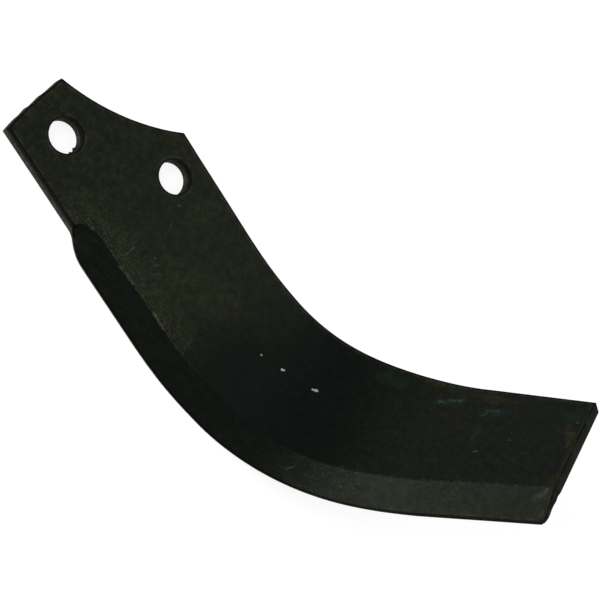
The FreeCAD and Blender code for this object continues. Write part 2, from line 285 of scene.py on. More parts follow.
# How much of the colour of worn metal and painted highlights shows, and how much rougher walls and
# heated steel are.
WORN_AND_HIGHLIGHT_COVER = 0.6
WALL_ROUGHER = 0.35
HEAT_ROUGHER = 0.10

# Fine relief: the grain's share beside the mottling, its strength, and its depth in mm.
GRAIN_RELIEF = 0.35
RELIEF_STRENGTH = 0.5
RELIEF_DEPTH = 0.35

# Marks on the bevelled side, on the flat bar in mm: from, to and half width.
BRIGHT_SPECK_MARKS = [
    ((114.6, -19.1), (115.1, -18.9), 0.35),
    ((128.1, -17.0), (129.1, -16.4), 0.50),
    ((146.7, -14.4), (148.0, -13.9), 0.45),
    ((148.0, -13.9), (149.1, -13.3), 0.70),
]
WORN_MARKS = [
    ((59.0, -43.4), (68.8, -45.6), 0.70),
    ((45.4, -39.4), (46.2, -38.8), 0.45),
    ((43.3, -23.8), (43.8, -23.2), 0.40),
    ((46.0, -26.6), (46.4, -25.6), 0.35),
    ((49.2, -28.6), (49.6, -27.8), 0.40),
    ((35.7, 3.5), (36.3, 4.3), 0.30),
    ((11.7, -35.8), (12.4, -35.4), 0.50),
    ((32.9, -39.2), (37.8, -39.7), 0.30),
    ((37.8, -39.7), (43.0, -40.4), 0.50),
    ((-36.5, -5.5), (-35.9, -5.1), 0.35),
    ((2.9, -2.9), (3.7, -2.6), 0.15),
    ((31.7, -33.6), (32.6, -27.2), 0.35),
    ((160.0, -53.6), (162.2, -51.0), 0.25),
    ((185.4, -46.6), (186.4, -46.0), 0.35),
    ((247.0, 10.5), (247.8, 10.9), 0.35),
    ((272.6, 31.5), (273.4, 31.9), 0.40),
    ((227.2, 17.6), (229.4, 20.0), 0.25),
    ((234.4, -2.0), (236.2, -0.8), 0.35),
]
SCRATCHES = [
    ((32.9, -38.9), (43.5, -40.9), 0.55),
    ((-7.6, -7.4), (4.8, -1.3), 0.30),
    ((-4.0, -10.0), (2.5, -8.0), 0.15),
    ((-12.0, -12.0), (8.0, -9.0), 0.14),
    ((11.8, -0.6), (12.4, -0.2), 0.60),
    ((-12.2, -0.9), (-11.6, -0.5), 0.50),
    ((-9.6, -7.7), (-9.0, -7.3), 0.50),
    ((31.6, -15.6), (32.6, -14.6), 0.80),
    ((36.6, -0.9), (39.3, -6.3), 0.45),
    ((39.3, -6.3), (41.1, -13.9), 0.55),
    ((41.1, -13.9), (44.1, -19.0), 0.35),
    ((50.0, -36.0), (51.0, -35.4), 0.50),
    ((55.5, -39.2), (56.3, -38.6), 0.50),
]
OCHRE_MARKS = [
    ((-38.6, -5.6), (-35.0, -3.6), 1.6),
    ((2.0, 13.8), (4.6, 15.2), 1.4),
    ((13.6, 27.0), (15.4, 28.0), 1.4),
    ((0.0, -31.0), (30.0, -30.0), 5.0),
    ((30.0, -36.0), (76.0, -41.0), 6.0),
    ((56.0, -24.0), (84.0, -14.0), 9.0),
    ((44.0, 2.0), (50.0, 20.0), 4.0),
]
TAN_MARKS = [
    ((193.0, 24.2), (206.0, 27.6), 0.7),
    ((222.0, 29.2), (234.0, 31.2), 0.5),
    ((226.0, 27.4), (230.5, 27.8), 1.1),
    ((230.3, 5.4), (230.7, 8.4), 0.8),
    ((270.4, 24.2), (274.2, 25.7), 0.9),
    ((272.6, 23.6), (273.6, 20.8), 1.4),
    ((274.2, 20.0), (274.8, 18.0), 0.6),
]
BROWN_MARKS = [
    ((278.4, 1.0), (277.8, -3.8), 2.4),
    ((270.4, 28.6), (277.6, 18.0), 2.0),
    ((280.0, -14.5), (278.6, -18.4), 1.9),
    ((190.0, 23.4), (240.0, 31.6), 0.8),
]
TEAL_MARKS = [
    ((171.5, 13.4), (182.5, 17.0), 3.0),
    ((203.5, 16.4), (214.5, 22.6), 2.6),
    ((226.6, 20.4), (238.4, 24.4), 2.4),
    ((229.6, 11.6), (231.2, 2.0), 2.0),
    ((268.5, 32.5), (276.5, 35.5), 2.2),
]
PALE_TEAL_MARKS = [
    ((204.0, 16.6), (206.2, 18.2), 0.7),
    ((208.0, 19.4), (213.8, 22.4), 0.7),
    ((229.0, 21.6), (234.4, 23.4), 0.5),
    ((277.2, -6.6), (276.4, -9.6), 0.9),
    ((275.6, -9.2), (273.4, -12.6), 0.7),
    ((279.6, -16.2), (279.0, -17.8), 0.7),
]
INKY_MARKS = [
    ((274.4, 9.5), (276.0, 3.6), 1.5),
]
SMALL_MARKS = [*BRIGHT_SPECK_MARKS, *WORN_MARKS, *SCRATCHES]

# Kinds of marks, the later ones lying over the earlier ones: name, strokes, colour, how much
# of it shows, and how far its rim strays and how soft it is, in mm. The first lies under the
# bevel's scale, so it shows on the face only.
OCHRE = ("ochre", OCHRE_MARKS, OCHRE_SCALE, 0.5, 7.0, 4.0)
MARKS = [
    ("teal", TEAL_MARKS, TEAL, 0.75, 2.2, 1.4),
    ("brown", BROWN_MARKS, BROWN_RUST, 0.8, 2.2, 1.2),
    ("tan", TAN_MARKS, TAN_RUST, 0.65, 1.8, 0.6),
    ("inky", INKY_MARKS, INKY, 0.8, 1.6, 0.9),
    ("pale_teal", PALE_TEAL_MARKS, PALE_TEAL, 0.85, 1.4, 0.6),
    ("scratch", SCRATCHES, ASHEN_SCALE, 0.8, 0.35, 0.2),
    ("worn", WORN_MARKS, WORN_AND_HIGHLIGHT, 0.8, 0.7, 0.25),
    ("bright_speck", BRIGHT_SPECK_MARKS, BRIGHT_SPECK, 1.0, 0.4, 0.15),
]

# Numbers of a colour mix's sockets, whose names stand for several kinds of socket.
MIX_FACTOR = 0
MIX_FIRST = 6
MIX_SECOND = 7
MIX_COLOR = 2


def flatten(points):
    """Where points of the bent blade, in mm in the part's frame, lie on the flat bar.

    x runs along the bar square to the bend, y across it, and z out of the bevelled face.
    """
    turn = radians(HOLE_LINE)
    along = points[:, 0] * cos(turn) - points[:, 1] * sin(turn)
    across = points[:, 0] * sin(turn) + points[:, 1] * cos(turn)
    up = points[:, 2]
    past = along - BEND_START
    angle = np.arctan2(past, BACK_RADIUS - up)
    reach = np.hypot(past, BACK_RADIUS - up)
    wing_along = past - BACK_RADIUS * sin(BEND)
    wing_up = up - BACK_RADIUS * (1 - cos(BEND))
    beyond = wing_along * cos(BEND) + wing_up * sin(BEND)
    height = wing_up * cos(BEND) - wing_along * sin(BEND)
    in_bend = (past > 0) & (angle <= BEND)
    in_wing = (past > 0) & (angle > BEND)
    flat = np.stack([along, across, up], axis=1)
    flat[in_bend, 0] = BEND_START + MIDDLE_RADIUS * angle[in_bend]
    flat[in_bend, 2] = BACK_RADIUS - reach[in_bend]
    flat[in_wing, 0] = BEND_START + BEND_LENGTH + beyond[in_wing]
    flat[in_wing, 2] = height[in_wing]
    return flat


def bend_up(flat):
    """Where points of the flat bar lie on the bent blade, in mm in the part's frame."""
    past = flat[:, 0] - BEND_START
    angle = np.clip(past / MIDDLE_RADIUS, 0, BEND)
    beyond = np.maximum(past - BEND_LENGTH, 0)
    before = np.minimum(flat[:, 0], BEND_START)
    reach = BACK_RADIUS - flat[:, 2]
    along = before + reach * np.sin(angle) + beyond * np.cos(angle)
    up = BACK_RADIUS - reach * np.cos(angle) + beyond * np.sin(angle)
    turn = radians(HOLE_LINE)
    x = along * cos(turn) + flat[:, 1] * sin(turn)
    y = flat[:, 1] * cos(turn) - along * sin(turn)
    return np.stack([x, y, up], axis=1)


def positions(mesh):
    """Positions of a mesh's vertices, in its own unit."""
    found = np.empty(len(mesh.vertices) * 3, np.float32)
    mesh.vertices.foreach_get("co", found)
    return found.reshape(-1, 3).astype(float)


def set_positions(mesh, points):
    """Move a mesh's vertices."""
    mesh.vertices.foreach_set("co", points.astype(np.float32).ravel())
    mesh.update()


def normals(mesh):
    """Directions that a mesh's vertices face."""
    found = np.empty(len(mesh.vertices) * 3, np.float32)
    mesh.vertex_normals.foreach_get("vector", found)
    return found.reshape(-1, 3).astype(float)


def flat_solid(node):
    """The CAD blade laid flat, as a welded bmesh in mm."""
    mesh = node.data.copy()
    set_positions(mesh, flatten(positions(mesh) / MM))
    solid = bmesh.new()
    solid.from_mesh(mesh)
    bmesh.ops.remove_doubles(solid, verts=solid.verts, dist=WELD)
    solid.normal_update()
    return solid


def chained(edges):
    """Rows of plan points along connected edges; a closed row ends where it starts."""
    beside = {}
    for edge in edges:
        for vertex in edge.verts:
            beside.setdefault(vertex, []).append(edge.other_vert(vertex))
    rows = []
    while beside:
        ends = [vertex for vertex, others in beside.items() if len(others) == 1]
        here = min(ends or beside, key=lambda vertex: tuple(vertex.co))
        row = [here]
        while beside.get(here):
            onward = beside[here].pop()
            beside[onward].remove(here)
            row.append(onward)
            here = onward
        beside = {vertex: others for vertex, others in beside.items() if others}
        rows.append(np.array([vertex.co[:2] for vertex in row], float))
    return rows


def distances_along(row):
    """How far along a row each of its points lies."""
    return np.concatenate([[0], np.cumsum(np.hypot(*np.diff(row, axis=0).T))])


def headings(row):
    """Direction of length one in which a row runs at each of its points."""
    ahead = np.gradient(row, axis=0)
    return ahead / np.hypot(*ahead.T)[:, None]


def even_row(row, spacing):
    """Points evenly spaced along a row, keeping its corners, with the facets between eased."""
    steps = np.diff(row, axis=0)
    heading = np.unwrap(np.arctan2(steps[:, 1], steps[:, 0]))
    corners = np.flatnonzero(np.abs(np.diff(heading)) > radians(CORNER)) + 1
    cuts = [0, *corners, len(row) - 1]
    stretches = []
    for first, last in zip(cuts, cuts[1:]):
        part = row[first : last + 1]
        run = distances_along(part)
        count = max(1, round(run[-1] / spacing))
        at = np.linspace(0, run[-1], count + 1)
        points = np.stack([np.interp(at, run, part[:, axis]) for axis in (0, 1)], axis=1)
        for _ in range(EASINGS):
            points[1:-1] += (points[:-2] + points[2:] - 2 * points[1:-1]) / 4
        stretches.append(points[:-1])
    return np.concatenate([*stretches, row[-1:]])


def runs_anticlockwise(loop):
    """Whether a loop runs anticlockwise, as seen from above."""
    onward = np.roll(loop, -1, axis=0)
    return np.sum(loop[:, 0] * onward[:, 1] - loop[:, 1] * onward[:, 0]) > 0


def fitted_circle(row):
    """Middle and radius of the circle that fits a row of points best."""
    sums = np.column_stack([2 * row, np.ones(len(row))])
    *middle, rest = np.linalg.lstsq(sums, np.sum(row**2, axis=1), rcond=None)[0]
    return middle, np.sqrt(rest + np.dot(middle, middle))


def outlines(solid):
    """Closed rows of points round the flat blade and round its holes, metal on the left."""
    back = {face for face in solid.faces if face.normal.z < -LEVEL}
    border = {
        edge
        for face in back
        for edge in face.edges
        if any(other not in back for other in edge.link_faces)
    }
    border_row, *hole_rows = sorted(chained(border), key=lambda row: -np.ptp(row[:, 0]))
    loop = even_row(border_row, WALL_SPACING)[:-1]
    loops = [loop if runs_anticlockwise(loop) else loop[::-1]]
    for row in hole_rows:
        middle, drawn_radius = fitted_circle(row)
        radius = drawn_radius - HOLE_ALLOWANCE
        turns = np.linspace(0, 2 * pi, round(2 * pi * radius / WALL_SPACING), endpoint=False)
        loops.append(middle + radius * np.stack([np.cos(turns), -np.sin(turns)], axis=1))
    return loops


def outward(loop):
    """Directions out of the metal at a loop's points, longer at its corners."""
    ahead = np.roll(loop, -1, axis=0) - loop
    ahead /= np.hypot(*ahead.T)[:, None]
    sides = np.stack([ahead[:, 1], -ahead[:, 0]], axis=1)
    both = sides + np.roll(sides, 1, axis=0)
    return 2 * both / np.sum(both**2, axis=1)[:, None]


def crease_of(solid):
    """Row of plan points along the crease, from heel to tip."""
    border = [
        edge
        for edge in solid.edges
        if len(edge.link_faces) == 2
        and max(face.normal.z for face in edge.link_faces) > LEVEL
        and SLOPING < min(face.normal.z for face in edge.link_faces) < LEVEL
    ]
    longest = max(chained(border), key=len)
    if longest[0, 0] > longest[-1, 0]:
        longest = longest[::-1]
    return even_row(longest, WALL_SPACING)[1:-1]


def beside_row(row, offset):
    """Row moved sideways, to the left of its run where the offset is above zero."""
    ahead = headings(row)
    return row + offset * np.stack([-ahead[:, 1], ahead[:, 0]], axis=1)


def plan_tree(points):
    """Search tree over plan points."""
    tree = KDTree(len(points))
    for index, point in enumerate(points):
        tree.insert((*point, 0), index)
    tree.balance()
    return tree


def from_strokes(points, strokes):
    """How far plan points lie outside the nearest of some strokes, below zero on a stroke."""
    nearest = np.full(len(points), np.inf)
    for start, end, half_width in strokes:
        along = np.subtract(end, start)
        off = points - start
        share = np.clip(off @ along / (along @ along), 0, 1)
        apart = np.hypot(*(off - share[:, None] * along).T)
        nearest = np.minimum(nearest, apart - half_width)
    return nearest


def lattice(low, high, spacing):
    """Plan points between two corners, at the corners of even triangles."""
    rows = np.arange(low[1], high[1], spacing * sin(radians(60)))
    shifts = spacing / 2 * (np.arange(len(rows)) % 2)
    return np.array(
        [
            (along, across)
            for across, shift in zip(rows, shifts)
            for along in np.arange(low[0] + shift, high[0], spacing)
        ]
    )


def inner_points(fixed, loops, crease, height):
    """Points of the face's mesh: beside the crease, on small marks, and over all the rest."""
    low, high = fixed.min(axis=0), fixed.max(axis=0)
    border = plan_tree(np.concatenate(loops))
    fine = lattice(low, high, SMALL_MARK_SPACING)
    fine = fine[from_strokes(fine, SMALL_MARKS) < SMALL_MARK_MARGIN]
    wanted = [*(point for offset in CREASE_ROWS for point in beside_row(crease, offset)), *fine]
    first = [
        tuple(point)
        for point in wanted
        if border.find((*point, 0))[2] > RIM_CLEARANCE and height(point) is not None
    ]
    near = plan_tree([*fixed, *first])
    clearance = FACE_SPACING * CLEAR_SHARE
    return first + [
        tuple(point)
        for point in lattice(low, high, FACE_SPACING)
        if near.find((*point, 0))[2] > clearance and height(point) is not None
    ]


def add_sheet(fine, points, triangles, heights, upward):
    """One face of the bar; returns its vertices."""
    vertices = [fine.verts.new((*point, height)) for point, height in zip(points, heights)]
    for triangle in triangles:
        corners = [vertices[index] for index in triangle]
        fine.faces.new(corners if upward else corners[::-1])
    return vertices


def add_wall(fine, loop, front, back, tops):
    """Wall between a border of the front sheet and that of the back one, its edges eased."""
    out = outward(loop)
    eased = [
        (EASE * (1 - sin(angle)), EASE * (1 - cos(angle)))
        for angle in np.linspace(0, pi / 2, EASE_STEPS + 1)[1:]
    ]
    shares = np.linspace(1, 0, WALL_ROWS + 1)[1:-1]
    levels = [
        *((inward, 1, -drop) for inward, drop in eased),
        *((0, share, EASE * (1 - 2 * share)) for share in shares),
        *((inward, 0, drop) for inward, drop in reversed(eased)),
    ]
    rows = [front]
    for inward, share, rise in levels:
        places = loop - inward * out
        heights = [share * top + rise for top in tops]
        rows.append([fine.verts.new((*place, height)) for place, height in zip(places, heights)])
    rows.append(back)
    for upper, lower in zip(rows, rows[1:]):
        for step in range(len(loop)):
            ahead = (step + 1) % len(loop)
            fine.faces.new((upper[step], lower[step], lower[ahead], upper[ahead]))


def fixed_edges(loops, crease):
    """Where the points of each loop start in the list of fixed ones, and all their edges."""
    *firsts, crease_first = (int(first) for first in np.cumsum([0, *map(len, loops)]))
    edges = [
        (first + step, first + (step + 1) % len(loop))
        for first, loop in zip(firsts, loops)
        for step in range(len(loop))
    ]
    edges += [(crease_first + step, crease_first + step + 1) for step in range(len(crease) - 1)]
    return firsts, edges


def flat_bar(solid, loops, crease):
    """The flat blade in small even faces with eased edges, as a mesh in mm."""
    tree = BVHTree.FromBMesh(solid)

    def height(point):
        """Height of the front face at a plan point, or None beside the metal."""
        hit =tree.ray_cast(Vector((*point, 2 * THICKNESS)), Vector((0, 0, -1)))[0]
        return hit.z if hit else None

    insets = [loop - EASE * outward(loop) for loop in loops]
    fixed = np.concatenate([*insets, crease])
    firsts, edges = fixed_edges(loops, crease)
    plan = [Vector(point) for point in [*fixed, *inner_points(fixed, loops, crease, height)]]
    placed, _, triangles, origins, _, _ = delaunay_2d_cdt(plan, edges, [], INSIDE, WELD)
    placed_at = {source: index for index, sources in enumerate(origins) for source in sources}
    borders = [
        [placed_at[first + step] for step in range(len(loop))]
        for first, loop in zip(firsts, loops)
    ]
    in_holes = [set(border) for border in borders[1:]]
    triangles = [
        triangle for triangle in triangles if not any(set(triangle) <= hole for hole in in_holes)
    ]
    tops = [height(point) for point in placed]

    fine = bmesh.new()
    front = add_sheet(fine, placed, triangles, tops, True)
    back = add_sheet(fine, placed, triangles, [0] * len(tops), False)
    for loop, border in zip(loops, borders):
        upper = [front[index] for index in border]
        lower = [back[index] for index in border]
        add_wall(fine, loop, upper, lower, [tops[index] for index in border])
    mesh = bpy.data.meshes.new("forged_blade")
    fine.normal_update()
    fine.to_mesh(mesh)
    fine.free()
    return mesh


def uneven(point, size):
    """Smooth random value from 0 to 1 at a point, for bumps of a size across."""
    return (noise.noise(point / size) + 1) / 2


def rough_depth(point, slope):
    """How far the forged or sheared surface lies below a smooth one at a point, in mm."""
    depth = sum(uneven(point, size) * deep for size, deep in (SWELL, RIPPLE))
    if abs(slope) < SLOPING:
        size, deep = SHEAR_MARKS
        depth += uneven(Vector((point.x, point.y, point.z / SHEAR_STRETCH)), size) * deep
    return depth


def nick_depth(point):
    """How far the nicks cut in at a point, in mm, or below zero how far burrs stand out."""
    depth = 0
    for middle, width, tall, deep in NICKS:
        off = point - Vector(middle)
        depth += deep * np.exp(-((off.xy.length / width) ** 2) - (off.z / tall) ** 2)
    return depth


def groove_depths(flat, facing, crease, nearest):
    """How deep the groove beside the crease is at each point of the flat bar, in mm."""
    run = distances_along(crease)[nearest]
    ahead = headings(crease)[nearest]
    off = flat[:, :2] - crease[nearest]
    side = ahead[:, 0] * off[:, 1] - ahead[:, 1] * off[:, 0]
    share = np.clip((run - GROOVE_START) / (GROOVE_END - GROOVE_START), 0, 1)
    fade = np.sqrt(np.sin(pi * share))
    shape = np.exp(-(((side - GROOVE_OFFSET) / GROOVE_WIDTH) ** 2))
    roughness = [uneven(Vector(point), GROOVE_UNEVENNESS) for point in flat]
    on_front = facing[:, 2] > LEVEL / 2
    return GROOVE_DEPTH * on_front * fade * shape * roughness


def heel_pull(flat):
    """How far each point of the flat bar is drawn past the straight heel end, in mm."""
    places, pulls = zip(*HEEL_END_LINE)
    nearness = np.clip(1 - (flat[:, 0] - HEEL_END) / HEEL_END_REACH, 0, 1)
    return nearness * np.interp(flat[:, 1], places, pulls)


def worn_down(flat, facing, crease, nearest):
    """Where points of the smooth flat bar lie once it is forged, sheared and worn."""
    depths = groove_depths(flat, facing, crease, nearest)
    for index, (place, direction) in enumerate(zip(flat, facing)):
        point = Vector(place)
        depths[index] += rough_depth(point, direction[2]) + nick_depth(point)
    worn = flat - facing * depths[:, None]
    worn[:, 0] -= heel_pull(flat)
    worn[:, 2] = np.maximum(worn[:, 2], 0)
    return worn


def add_blade(node):
    """The detailed blade that stands for the CAD node."""
    solid = flat_solid(node)
    loops = outlines(solid)
    crease = crease_of(solid)
    mesh = flat_bar(solid, loops, crease)
    solid.free()

    flat = positions(mesh)
    facing = normals(mesh)
    crease_tree = plan_tree(crease)
    border_tree = plan_tree(np.concatenate(loops))
    _, nearest, from_crease = zip(*(crease_tree.find((*point[:2], 0)) for point in flat))
    from_border = [border_tree.find((*point[:2], 0))[2] for point in flat]
    place = mesh.attributes.new("flat_place", "FLOAT_VECTOR", "POINT")
    place.data.foreach_set("vector", flat.astype(np.float32).ravel())
    for name, values in (
        ("wall", 1 - np.abs(facing[:, 2])),
        ("leading", -facing[:, 1]),
        ("from_crease", from_crease),
        ("from_border", from_border),
        *((name, from_strokes(flat[:, :2], strokes)) for name, strokes, *_ in [OCHRE, *MARKS]),
    ):
        attribute = mesh.attributes.new(name, "FLOAT", "POINT")
        attribute.data.foreach_set("value", np.asarray(values, np.float32))

    worn = worn_down(flat, facing, crease, np.array(nearest))
    set_positions(mesh, bend_up(worn) * MM)
    mesh.shade_smooth()
    blade = bpy.data.objects.new("forged_blade", mesh)
    bpy.context.scene.collection.objects.link(blade)
    return blade


def feed(tree, socket, value):
    """Give a socket a number, a colour or another node's output."""
    if isinstance(value, bpy.types.NodeSocket):
        tree.links.new(value, socket)
    elif socket.type == "RGBA":
        socket.default_value = (*value, 1)
    else:
        socket.default_value = value


def add_node(tree, kind, values=None, **settings):
    """Shader node with its settings, and with values or other nodes' outputs as its inputs."""
    made = tree.nodes.new(f"ShaderNode{kind}")
    for name, value in settings.items():
        setattr(made, name, value)
    for name, value in (values or {}).items():
        feed(tree, made.inputs[name], value)
    return made


def read(tree, name):
    """Number that the mesh carries under a name."""
    return add_node(tree, "Attribute", attribute_name=name).outputs["Fac"]


def calculate(tree, operation, *values, clamped=False):
    """Output of a math node."""
    inputs = dict(enumerate(values))
    return add_node(tree, "Math", inputs, operation=operation, use_clamp=clamped).outputs[0]


def chain(tree, operation, first, *others):
    """Output of math nodes that take in one value after another."""
    result = first
    for other in others:
        result = calculate(tree, operation, result, other)
    return result


def multiply(tree, *values):
    """Product of some values."""
    return chain(tree, "MULTIPLY", *values)


def between(tree, value, low, high, to_low=0.0, to_high=1.0):
    """Smooth step of a value, from one level below low to another above high."""
    values = {"Value": value, "From Min": low, "From Max": high, "To Min": to_low, "To Max": to_high}
    return add_node(tree, "MapRange", values, interpolation_type="SMOOTHSTEP").outputs[0]


def blend(tree, factor, first, second):
    """Colour between two colours."""
    values = {MIX_FACTOR: factor, MIX_FIRST: first, MIX_SECOND: second}
    return add_node(tree, "Mix", values, data_type="RGBA").outputs[MIX_COLOR]


def random_value(tree, place, size, detail, roughness):
    """Random value round NOISE_MIDDLE, in blotches of a size in mm."""
    values = {"Vector": place, "Scale": 1 / size, "Detail": detail, "Roughness": roughness}
    return add_node(tree, "TexNoise", values).outputs["Fac"]


def drawn_out(tree, place, stretch, turn=0.0):
    """Place for a pattern that is turned about z, in degrees, and drawn out in x, y and z."""
    scale = [1 / share for share in stretch]
    values = {"Vector": place, "Rotation": (0, 0, radians(turn)), "Scale": scale}
    return add_node(tree, "Mapping", values).outputs["Vector"]


def read_steel(tree):
    """What the layers of the steel follow: place, slope, distances and random values."""
    steel = SimpleNamespace()
    steel.place = add_node(tree, "Attribute", attribute_name="flat_place").outputs["Vector"]
    steel.wall = read(tree, "wall")
    steel.leading = read(tree, "leading")
    steel.from_crease = read(tree, "from_crease")
    steel.from_border = read(tree, "from_border")
    steel.x, steel.y, steel.z = add_node(tree, "SeparateXYZ", {0: steel.place}).outputs
    steel.bevelled_side = between(tree, steel.z, *BEVELLED_SIDE)

    cloud = random_value(tree, steel.place, *CLOUD)
    steel.mottle = random_value(tree, steel.place, *MOTTLE)
    steel.grain = random_value(tree, steel.place, *GRAIN)
    drift = calculate(tree, "SUBTRACT", cloud, NOISE_MIDDLE)
    drift = multiply(tree, drift, CLOUD_DRIFT / NOISE_SWING)
    steel.along = calculate(tree, "ADD", steel.x, drift)
    # The heated part of the bend, which also gets painted shade.
    steel.heated = heated_part(tree, steel)
    steel.tint = calculate(tree, "SUBTRACT", random_value(tree, steel.place, *TINT), NOISE_MIDDLE)
    # Where the bevel is rubbed and a highlight is painted on it.
    steel.rubbed = between(tree, steel.x, *RUB_AND_HIGHLIGHT_START)
    steel.on_bevel = between(tree, steel.wall, *ON_BEVEL)
    return steel


def heated_part(tree, steel):
    """How far the bar was heated for its bend, from 0 to 1, which is also how much painted shade the
    bend gets.
    """
    across = calculate(tree, "SUBTRACT", steel.y, HEAT_AND_SHADE_MIDDLE)
    start = calculate(tree, "MULTIPLY_ADD", across, HEAT_AND_SHADE_START_LEAN, steel.along)
    end = calculate(tree, "MULTIPLY_ADD", across, HEAT_AND_SHADE_END_LEAN, steel.along)
    return multiply(tree, between(tree, start, *HEAT_AND_SHADE_START), between(tree, end, *HEAT_AND_SHADE_END))


def marked(tree, steel, color, mark):
    """Colour with one kind of mark laid over it."""
    name, _, mark_color, strength, stray, softness = mark
    apart = calculate(tree, "MULTIPLY_ADD", steel.tint, stray / NOISE_SWING, read(tree, name))
    cover = between(tree, apart, -softness, softness, strength, 0.0)
    return blend(tree, multiply(tree, cover, steel.bevelled_side), color, mark_color)


def scale_color(tree, steel):
    """Colour of the forge scale: olive at the heel, slate with painted shade in the bend, and rubbed
    steel with a painted highlight on the wing's bevel.
    """
    color = blend(tree, between(tree, steel.along, *WING_START), OLIVE_SCALE, WING_SCALE)
    # Painted shade: the heated bend is darkened to slate.
    color = blend(tree, steel.heated, color, SLATE_SCALE_AND_BEND_SHADE)
    patches = between(tree, random_value(tree, steel.place, *PATCHES), *PATCHES_SHOWN)
    patches = multiply(tree, patches, between(tree, steel.along, *PATCHES_FADE))
    color = blend(tree, patches, color, OCHRE_SCALE)
    color = marked(tree, steel, color, OCHRE)

    # Painted highlight on the wing's bevel, together with rubbed steel, fading towards the tip.
    rubbed_color = blend(tree, between(tree, steel.x, *RUB_AND_HIGHLIGHT_FADE), RUBBED_BEVEL_AND_HIGHLIGHT, RUBBED_TIP_AND_HIGHLIGHT)
    bevel_color = blend(tree, steel.rubbed, BEVEL_SCALE, rubbed_color)
    color = blend(tree, steel.on_bevel, color, bevel_color)

    plan = add_node(tree, "CombineXYZ", {"X": steel.x, "Y": steel.y}).outputs[0]
    wisps = random_value(tree, drawn_out(tree, plan, WISP_STRETCH, WISP_TURN), *WISPS)
    wisps = between(tree, wisps, *WISPS_SHOWN)
    wisps = multiply(tree, wisps, between(tree, steel.heated, *WISP_COVER))
    return blend(tree, wisps, color, ASHEN_SCALE)


def with_walls(tree, steel, color):
    """Colour of the faces with that of the sheared walls, darker towards their tops, and with
    painted shade on the eased edges between.
    """
    streaks = drawn_out(tree, steel.place, (1, 1, SHEAR_STRETCH))
    streaks = random_value(tree, streaks, *STREAKS)
    sheared = blend(tree, between(tree, streaks, *STREAKS_SHOWN), SHEARED, SHEARED_GRAIN)
    foot = multiply(
        tree,
        between(tree, steel.z, *WALL_FOOT),
        between(tree, steel.x, *FOOT_END),
        between(tree, steel.leading, *FOOT_FACING),
        between(tree, streaks, *BREAKS_SHOWN),
    )
    sheared = blend(tree, between(tree, steel.x, *TIP_WALL), sheared, RUSTY_WALL)
    sheared = blend(tree, foot, sheared, BROKEN_FOOT)
    sheared = blend(tree, between(tree, steel.z, *WALL_TOP), sheared, DARK_WALL_TOP_AND_EDGE_SHADE)
    color = blend(tree, between(tree, steel.wall, *ON_WALL), color, sheared)
    # Painted shade on the eased edges of the faces.
    painted_edge_shade = multiply(
        tree,
        between(tree, steel.from_border, *PAINTED_EDGE_SHADE),
        between(tree, steel.z, *EDGE_HEIGHT),
        between(tree, steel.wall, *NOT_STEEP),
    )
    return blend(tree, painted_edge_shade, color, DARK_WALL_TOP_AND_EDGE_SHADE)


def with_wear_and_highlights(tree, steel, color):
    """Colour of the scale with pits and with specks where it is worn off, and with a ridge line and
    rims that are partly worn metal and partly painted highlight.
    """
    early = between(tree, steel.x, *RIDGE_WEAR_AND_HIGHLIGHT_UNTIL)
    early = multiply(tree, early, between(tree, steel.wall, *LEVEL_FACE))
    late = between(tree, steel.x, *RIDGE_WEAR_AND_HIGHLIGHT_FROM)
    along_ridge = calculate(tree, "ADD", early, late)
    speckle = between(tree, steel.grain, *SPECKLE)
    sparse = between(tree, steel.grain, *SPARSE_SPECKS)
    pitted = multiply(tree, between(tree, steel.from_crease, *PITTED_BAND), early, speckle)
    color = blend(tree, pitted, color, PALE_SCALE)

    # Ridge line: partly worn metal and partly a painted highlight along the crease.
    ridge_wear_and_highlight = multiply(tree, between(tree, steel.from_crease, *RIDGE_LINE), speckle, along_ridge)
    band = multiply(tree, sparse, between(tree, steel.from_crease, *RIDGE_BAND), early)
    specks = multiply(tree, steel.rubbed, steel.on_bevel, sparse)
    specks = multiply(tree, specks, between(tree, steel.x, *SPECKS_FADE))
    full_height = between(tree, steel.z, *FULL_HEIGHT)
    # Rims: partly worn edges and partly a painted highlight along the eased edges.
    rim_wear_and_highlight = multiply(
        tree,
        between(tree, steel.from_border, *RIM),
        between(tree, steel.from_border, *PAST_EDGE),
        between(tree, steel.mottle, *RIM_WEAR_AND_HIGHLIGHT),
        calculate(tree, "MAXIMUM", full_height, steel.rubbed),
    )
    # Worn metal, with the painted highlights of the ridge line and the rims.
    worn = chain(tree, "MAXIMUM", ridge_wear_and_highlight, band, specks, rim_wear_and_highlight)
    return blend(tree, multiply(tree, worn, steel.bevelled_side, WORN_AND_HIGHLIGHT_COVER), color, WORN_AND_HIGHLIGHT)


def shaded(tree, steel, color):
    """Colour with the light and dark of the mottling and the grain."""
    smooth = between(tree, steel.along, *WING_SMOOTHNESS)
    smooth = calculate(tree, "MAXIMUM", steel.on_bevel, smooth)
    spread = between(tree, smooth, *MOTTLE_SPREAD)
    mottling = between(tree, steel.mottle, *MOTTLE_SHADE)
    shade = calculate(tree, "MULTIPLY_ADD", mottling, spread, 1.0)
    shade = multiply(tree, shade, between(tree, steel.grain, *GRAIN_SHADE))
    values = {0: color, "Scale": shade}
    return add_node(tree, "VectorMath", values, operation="SCALE").outputs["Vector"]


def roughness_of(tree, steel):
    """Roughness, which follows the grain and is higher on walls and heated steel."""
    rough = between(tree, steel.grain, *GRAIN_ROUGHNESS)
    steep = between(tree, steel.wall, *STEEP)
    rough = calculate(tree, "MULTIPLY_ADD", steep, WALL_ROUGHER, rough)
    return calculate(tree, "MULTIPLY_ADD", steel.heated, HEAT_ROUGHER, rough)


